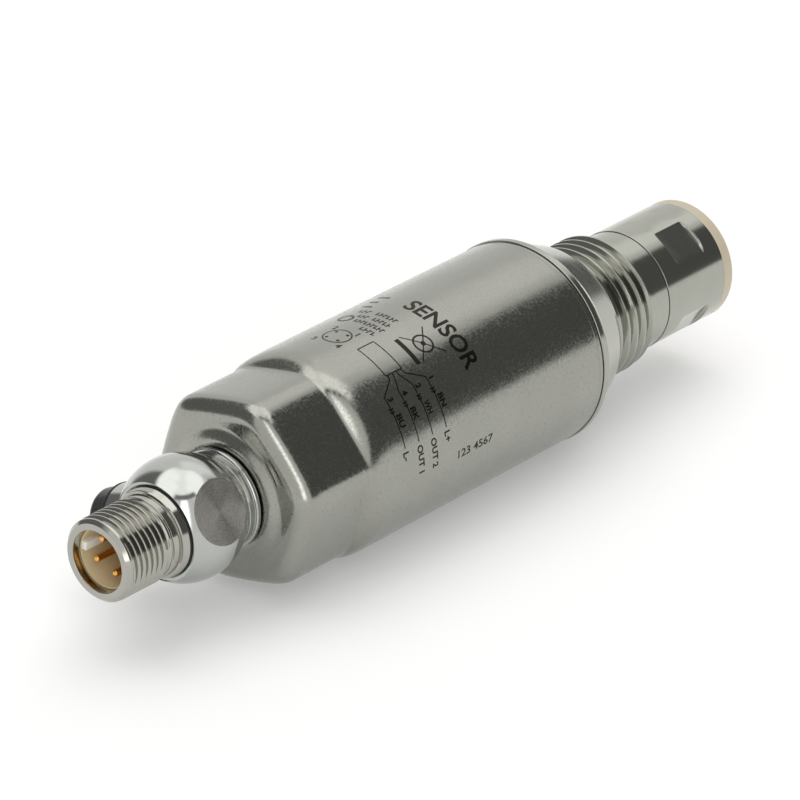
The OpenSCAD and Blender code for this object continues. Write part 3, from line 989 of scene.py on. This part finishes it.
@dataclass
class LaserMarks:
    """Generic marks in the housing's skin: a word, a wiring diagram, a pin face and numerals.

    A mark is drawn flat, then wrapped. On the flat sheet, across is the distance down round the housing from
    its top line and along is the distance from the end face.

    Attributes:
        radius: Radius of the housing.
        height: How far the marks stand on the skin.
        line: Width of a thin line.
        rows: Place along of each wire of the diagram, with its pin number and terminal label.
        jackets: Colour code of each wire's jacket.
        face: Place of the housing's end face along X.
    """

    radius: float = HousingCan.radius
    height: float = 0.012
    line: float = 0.19
    rows: tuple[tuple[float, str, str], ...] = (
        (19.85, "3", "L-"), (22.75, "4", "OUT 1"), (25.6, "2", "OUT 2"), (28.5, "1", "L+"))
    jackets: tuple[str, ...] = ("BU", "BK", "WH", "BN")
    face: float = field(default_factory=lambda: HousingCan().face_x)

    def build(self) -> None:
        """Builds each group of marks as one piece."""
        self._word()
        self._gauge()
        self._wiring()
        self._pin_face()
        self._small_print()
        self._numerals()

    def _bar(self, bm: Mesh, low: tuple[float, float], high: tuple[float, float]) -> None:
        """Adds a filled rectangle between two corners of the sheet."""
        self._slab(bm, [low, (high[0], low[1]), high, (low[0], high[1])])

    def _stroke(self, bm: Mesh, start: tuple[float, float], end: tuple[float, float],
                width: float = 0.0) -> None:
        """Adds a straight line between two points of the sheet."""
        first = Vector(start)
        last = Vector(end)
        side = (last - first).normalized().orthogonal() * (width or self.line) / 2
        self._slab(bm, [first + side, first - side, last - side, last + side])

    def _slab(self, bm: Mesh, corners: Sequence[Sequence[float]]) -> None:
        """Adds a thin flat slab with the given outline."""
        verts = [bm.verts.new((corner[0], corner[1], -self.height)) for corner in corners]
        face = bm.faces.new(verts)
        grown = bmesh.ops.extrude_face_region(bm, geom=[face])
        top = [item for item in grown["geom"] if isinstance(item, bmesh.types.BMVert)]
        bmesh.ops.translate(bm, vec=(0, 0, 2 * self.height), verts=top)

    def _ring(self, bm: Mesh, centre: tuple[float, float], radius: float, width: float) -> None:
        """Adds a circular line to the sheet, or a dot where the width is the radius."""
        part = bmesh.new()
        outer = part.verts.new((radius, 0, -self.height))
        inner = part.verts.new((radius - width, 0, -self.height))
        edge = part.edges.new((outer, inner))
        grown = bmesh.ops.extrude_edge_only(part, edges=[edge])
        top = [item for item in grown["geom"] if isinstance(item, bmesh.types.BMVert)]
        bmesh.ops.translate(part, vec=(0, 0, 2 * self.height), verts=top)
        bmesh.ops.delete(part, geom=list(part.faces), context="FACES_ONLY")
        bmesh.ops.spin(part, geom=list(part.verts) + list(part.edges), cent=(0, 0, 0), axis=(0, 0, 1),
                       dvec=(0, 0, 0), angle=math.tau, steps=28, use_merge=True)
        bmesh.ops.remove_doubles(part, verts=part.verts, dist=1e-4)
        bmesh.ops.translate(part, vec=(centre[0], centre[1], 0), verts=part.verts)
        self._join(bm, part)

    @staticmethod
    def _join(bm: Mesh, part: Mesh) -> None:
        """Adds a part to the sheet and frees it."""
        mesh = bpy.data.meshes.new("part")
        part.to_mesh(mesh)
        part.free()
        bm.from_mesh(mesh)
        bpy.data.meshes.remove(mesh)

    def _letters(self, bm: Mesh, words: str, place: tuple[float, float], size: tuple[float, float],
                 weight: float) -> None:
        """Adds lettering to the sheet, fitted to a width and a height.

        Args:
            bm: The sheet.
            words: The letters.
            place: Lower left corner.
            size: Width and height; a width of 0 keeps the letters' own proportions.
            weight: How much bolder than the font the strokes are, as a share of the letters' size.
        """
        curve = bpy.data.curves.new("letters", "FONT")
        curve.body = words
        curve.offset = weight
        curve.extrude = self.height
        curve.resolution_u = 3
        holder = bpy.data.objects.new("letters", curve)
        bpy.context.scene.collection.objects.link(holder)
        bpy.context.view_layer.update()
        mesh = bpy.data.meshes.new_from_object(holder.evaluated_get(bpy.context.evaluated_depsgraph_get()))
        bpy.data.objects.remove(holder)
        part = bmesh.new()
        part.from_mesh(mesh)
        bpy.data.meshes.remove(mesh)
        low = Vector([min(vert.co[axis] for vert in part.verts) for axis in range(3)])
        high = Vector([max(vert.co[axis] for vert in part.verts) for axis in range(3)])
        tall = size[1] / (high.y - low.y)
        wide = size[0] / (high.x - low.x) if size[0] else tall
        bmesh.ops.translate(part, vec=(-low.x, -low.y, 0), verts=part.verts)
        bmesh.ops.scale(part, vec=(wide, tall, 1), verts=part.verts)
        bmesh.ops.translate(part, vec=(place[0], place[1], 0), verts=part.verts)
        bmesh.ops.remove_doubles(part, verts=part.verts, dist=1e-4)
        self._join(bm, part)

    def _finish(self, name: str, bm: Mesh, reading: Reading = Reading.ROUND,
                origin: tuple[float, float] = (0.0, 90.0)) -> None:
        """Wraps a sheet round the housing and makes it a piece.

        Args:
            name: Name of the piece.
            bm: The sheet.
            reading: Which way the sheet reads.
            origin: Distance along from the end face and the clock angle of the sheet's origin.
        """
        normal = Vector((1, 0, 0) if reading is Reading.ROUND else (0, 1, 0))
        reach = [vert.co.dot(normal) for vert in bm.verts]
        for place in range(math.ceil(min(reach)), math.ceil(max(reach))):
            cut_through(bm, normal * place, normal)
        for vert in bm.verts:
            across, along, above = vert.co
            if reading is Reading.ROUND:
                x = self.face + origin[0] + along
                angle = origin[1] - math.degrees(across / self.radius)
            else:
                x = self.face + origin[0] + across
                angle = origin[1] + math.degrees(along / self.radius)
            vert.co = clock(angle) * (self.radius + above) + Vector((x, 0, 0))
        bmesh.ops.recalc_face_normals(bm, faces=bm.faces)
        make_piece(name, bm, LASER_MARK, HOUSING_BODY, slot=BLASTED_STEEL.name)

    def _word(self) -> None:
        """Marks a plain word."""
        bm = bmesh.new()
        self._letters(bm, "SENSOR", (0.2, 35.75), (13.9, 3.1), 0.022)
        self._finish("mark_word", bm)

    def _gauge(self) -> None:
        """Marks a target with two crossing lines over a thick bar."""
        bm = bmesh.new()
        centre = Vector((7.75, 32.05))
        self._ring(bm, centre, 1.65, 0.3)
        self._stroke(bm, (5.2, 29.65), (10.3, 34.45), 0.2)
        self._stroke(bm, (5.3, 34.4), (10.15, 29.75), 0.2)
        self._ring(bm, centre, 0.42, 0.42)
        self._bar(bm, (5.3, 28.45), (10.15, 29.25))
        self._finish("mark_gauge", bm)

    def _wiring(self) -> None:
        """Marks a cable end whose four wires lead to their terminals."""
        bm = bmesh.new()
        low, high = 22.45, 25.73
        start, end = 3.86, 9.55
        for along in (low, high):
            self._stroke(bm, (start, along), (end, along))
        for across in (start, end):
            self._stroke(bm, (across, low), (across, high))
        for k, (along, pin, terminal) in enumerate(self.rows):
            leaves = 22.8 + 0.86 * k
            bend = leaves + 0.1 * (along - leaves)
            self._stroke(bm, (end, leaves), (10.4, bend))
            self._stroke(bm, (10.35, bend), (12.15, along))
            self._stroke(bm, (12.1, along), (19.75, along))
            self._letters(bm, pin, (12.45, along + 0.3), (0, 1.05), 0.035)
            for step in (0.0, 0.45):
                self._stroke(bm, (13.85 + step, along + 0.42), (14.2 + step, along), 0.2)
                self._stroke(bm, (14.2 + step, along), (13.85 + step, along - 0.42), 0.2)
            self._letters(bm, self.jackets[k], (15.0, along + 0.25), (1.95, 1.1), 0.035)
            self._letters(bm, terminal, (20.25, along - 0.62), (0, 1.15), 0.03)
        self._finish("mark_wiring", bm)

    def _pin_face(self) -> None:
        """Marks the plug's face with its four numbered pins."""
        bm = bmesh.new()
        centre = Vector((-0.47, 23.12))
        self._ring(bm, centre, 2.15, 0.22)
        for number in range(4):
            turn = math.radians(45 + 90 * number)
            spoke = Vector((math.cos(turn), math.sin(turn)))
            self._ring(bm, centre + spoke * 1.45, 0.26, 0.26)
            corner = centre + spoke * 3.05 - Vector((0.4, 0.55))
            self._letters(bm, str(number + 1), corner, (0, 1.1), 0.025)
        self._finish("mark_pin_face", bm)

    def _small_print(self) -> None:
        """Marks rows of short bars and a ring near the top line."""
        bm = bmesh.new()
        for along, low, high in ((27.1, 0.3, 3.05), (28.7, -2.1, 3.25), (30.4, -0.2, 2.9), (32.1, -1.0, 2.7)):
            self._print_row(bm, along, low, high)
        self._print_row(bm, 30.25, -2.8, -0.95)
        self._print_row(bm, 31.9, -4.0, -1.9)
        self._ring(bm, (-4.0, 28.9), 1.25, 0.4)
        for along, low, high in ((33.8, -5.2, -3.5), (35.7, -5.6, -4.0), (37.6, -5.7, -3.5)):
            self._bar(bm, (low, along - 0.25), (high, along + 0.25))
        self._finish("mark_small_print", bm)

    def _print_row(self, bm: Mesh, along: float, low: float, high: float) -> None:
        """Adds a row of short upright bars in place of small print."""
        count = max(2, round((high - low) / 0.62))
        step = (high - low) / count
        for k in range(count):
            left = low + step * k
            self._bar(bm, (left, along - 0.5), (left + 0.2, along + 0.5))
            lift = 0.3 * (k % 3 - 1)
            self._bar(bm, (left + 0.2, along + lift - 0.1), (left + step - 0.12, along + lift + 0.12))

    def _numerals(self) -> None:
        """Marks a plain row of numerals low on the side."""
        bm = bmesh.new()
        self._letters(bm, "123 4567", (0, 0), (7.4, 1.25), 0.012)
        self._finish("mark_numerals", bm, Reading.ALONG, (30.4, -4.8))


# --- hidden parts, stage -------------------------------------------------------------------------

HIDDEN_FINISHES: dict[str, Finish] = {
    "swivel_bush": TURNED_STEEL, "cell_washer": SEAL_RUBBER, "clamp_ring": TURNED_STEEL,
    "cell_pins": CONTACT_GOLD, "cell_board": BOARD_GREEN, "cell_chip": CHIP_BLACK, "flex_lead": FLEX_FILM,
    "flex_header": HEADER_WHITE, "main_board": BOARD_GREEN, "front_carrier": CARRIER_BLACK,
    "rear_carrier": CARRIER_BLACK, "insulating_sleeve": LINER_FILM, "processor_chip": CHIP_BLACK,
    "board_chips": CHIP_BLACK, "capacitors": CAN_METAL, "wire_header": HEADER_WHITE,
    "signal_wires": WIRE_JACKET, "spigot_seal": SEAL_RUBBER, "retaining_ring": SPRING_STEEL,
    "contact_board": BOARD_GREEN, "vent_gasket": SEAL_RUBBER, "vent_membrane": MEMBRANE,
}


@dataclass(frozen=True)
class Panel:
    """A soft-edged part of the studio's walls or ceiling, with angles in degrees.

    Attributes:
        radiance: How bright it is.
        turn: Bearing of its middle about +Z, from +X.
        width: How wide it is.
        low: Elevation of its lower edge.
        high: Elevation of its upper edge.
        edge: Half the width of its soft side edges.
        brim: Half the height of its soft upper and lower edges.
        lean: How far it leans over sideways for each degree of elevation.
    """

    radiance: float
    turn: float
    width: float
    low: float
    high: float
    edge: float
    brim: float
    lean: float = 0.0


@dataclass
class Stage:
    """Floor, soft studio light and camera.

    Attributes:
        floor_size: Half the width of the floor, in metres.
        eye: Place of the camera, in metres.
        gaze: Direction in which the camera looks.
        lens: Focal length for a 36 mm sensor.
        floor_shade: Diffuse reflectance of the floor.
        floor_glow: Light that shines through the floor from below.
        wall: Radiance of the walls.
        panels: Soft boxes and flags, each laid over the ones before.
    """

    floor_size: float = 6.0
    eye: tuple[float, float, float] = (-0.5247615, -0.4217113, 0.3221356)
    gaze: tuple[float, float, float] = (0.67823, 0.58450, -0.44538)
    lens: float = 231.97
    floor_shade: float = 0.80
    floor_glow: float = 0.22
    wall: float = 0.97
    panels: tuple[Panel, ...] = (
        Panel(1.62, 0, 400, 59, 95, 4, 4),
        Panel(1.86, -40, 130, 57, 82, 12, 4),
        Panel(1.86, 120, 130, 52, 82, 14, 4),
        Panel(1.28, 22, 46, 36, 58, 6, 5),
        Panel(0.22, 124, 92, 2, 50, 6, 3),
        Panel(0.13, -62, 62, 4, 56, 5, 2.5),
        Panel(0.13, -24, 68, 2, 50, 6, 2, -0.53),
        Panel(0.15, 16, 26, 2, 12, 5, 2),
        Panel(0.25, -125, 80, 58, 67, 6, 2),
        Panel(2.90, -131, 18, -2, 57, 3, 2),
    )

    def build(self) -> None:
        """Builds the floor, the light and the camera."""
        self._floor()
        self._light()
        self._camera()

    def _floor(self) -> None:
        """Lays a pale floor, lit a little from below, under the part's lowest point."""
        bm = bmesh.new()
        bmesh.ops.create_grid(bm, x_segments=1, y_segments=1, size=self.floor_size)
        bmesh.ops.translate(bm, vec=(0, 0, CAD_BOX[0][2]), verts=bm.verts)
        material = bpy.data.materials.new("floor_paper")
        material.use_nodes = True
        fill(material.node_tree, material.node_tree.nodes["Principled BSDF"], {
            "Base Color": (self.floor_shade,) * 3 + (1,), "Roughness": 1.0, "Specular IOR Level": 0.0,
            "Emission Color": (1, 1, 1, 1), "Emission Strength": self.floor_glow})
        floor = make_object("floor", bm, material)

    def _light(self) -> None:
        """Surrounds the scene with soft light: pale walls, bright soft boxes and dark flags."""
        world = bpy.data.worlds.new("studio")
        bpy.context.scene.world = world
        world.use_nodes = True
        tree = world.node_tree
        place = tree.nodes.new("ShaderNodeTexCoord").outputs["Generated"]
        split = add_node(tree, "SeparateXYZ", {0: place})
        radiance: Socket | float = self.wall
        rise = self._math(tree, "ARCSINE", split.outputs["Z"])
        for panel in self.panels:
            radiance = self._blend(tree, self._patch(tree, split, rise, panel), radiance, panel.radiance)
        seen = tree.nodes.new("ShaderNodeLightPath").outputs["Is Camera Ray"]
        fill(tree, tree.nodes["Background"], {
            "Color": LIGHT_TINT, "Strength": self._blend(tree, seen, radiance, 1.0)})
        bpy.context.scene.view_settings.view_transform = "Standard"

    def _patch(self, tree: Tree, way: bpy.types.Node, rise: Socket, panel: Panel) -> Socket:
        """Adds the mask of one panel.

        Args:
            tree: The world's node tree.
            way: Node that splits the direction into X, Y and Z.
            rise: Elevation of the direction, in radians.
            panel: The panel.

        Returns:
            1 on the panel and 0 away from it.
        """
        turn = math.radians(panel.turn)
        ahead = self._math(tree, "ADD", self._math(tree, "MULTIPLY", way.outputs["X"], math.cos(turn)),
                           self._math(tree, "MULTIPLY", way.outputs["Y"], math.sin(turn)))
        beside = self._math(tree, "SUBTRACT", self._math(tree, "MULTIPLY", way.outputs["Y"], math.cos(turn)),
                            self._math(tree, "MULTIPLY", way.outputs["X"], math.sin(turn)))
        swing = self._math(tree, "ARCTAN2", beside, ahead)
        swing = self._math(tree, "SUBTRACT", swing, self._math(tree, "MULTIPLY", rise, panel.lean))
        off = self._math(tree, "ABSOLUTE", swing)
        reach = math.radians(panel.width / 2)
        side = math.radians(panel.edge)
        within = self._smooth(tree, off, reach + side, reach - side)
        end = math.radians(panel.brim)
        low = math.radians(panel.low)
        high = math.radians(panel.high)
        above = self._smooth(tree, rise, low - end, low + end)
        below = self._smooth(tree, rise, high + end, high - end)
        return self._math(tree, "MULTIPLY", within, self._math(tree, "MULTIPLY", above, below))

    @staticmethod
    def _math(tree: Tree, operation: str, *values: Socket | float) -> Socket:
        """Adds a Math node on sockets or numbers and returns its result."""
        node = tree.nodes.new("ShaderNodeMath")
        node.operation = operation
        fill(tree, node, dict(enumerate(values)))
        return node.outputs[0]

    @staticmethod
    def _smooth(tree: Tree, value: Socket, low: float, high: float) -> Socket:
        """Adds a smooth step from 0 at low to 1 at high and returns it."""
        node = tree.nodes.new("ShaderNodeMapRange")
        node.interpolation_type = "SMOOTHSTEP"
        fill(tree, node, {"Value": value, "From Min": low, "From Max": high})
        return node.outputs["Result"]

    def _blend(self, tree: Tree, share: Socket, low: Socket | float, high: Socket | float) -> Socket:
        """Adds a value that goes from low to high as share goes from 0 to 1, and returns it."""
        rest = self._math(tree, "SUBTRACT", 1.0, share)
        return self._math(tree, "ADD", self._math(tree, "MULTIPLY", rest, low),
                          self._math(tree, "MULTIPLY", share, high))

    def _camera(self) -> None:
        """Places the camera."""
        camera = bpy.data.cameras.new("camera")
        camera.lens = self.lens
        camera.sensor_width = 36.0
        camera.clip_start = 0.05
        camera.clip_end = 50.0
        holder = bpy.data.objects.new("camera", camera)
        holder.location = self.eye
        holder.rotation_euler = Vector(self.gaze).to_track_quat("-Z", "Y").to_euler()
        bpy.context.scene.collection.objects.link(holder)
        bpy.context.scene.camera = holder


def main() -> None:
    """Builds the stage and every sub-assembly in order."""
    logging.basicConfig(level=logging.INFO, format="%(message)s")
    Stage().build()
    HousingCan().build()
    ProcessEnd().build()
    ConnectorHead().build()
    LaserMarks().build()
    for node, finish in HIDDEN_FINISHES.items():
        dress_node(node, finish)


if __name__ == "__main__":
    main()
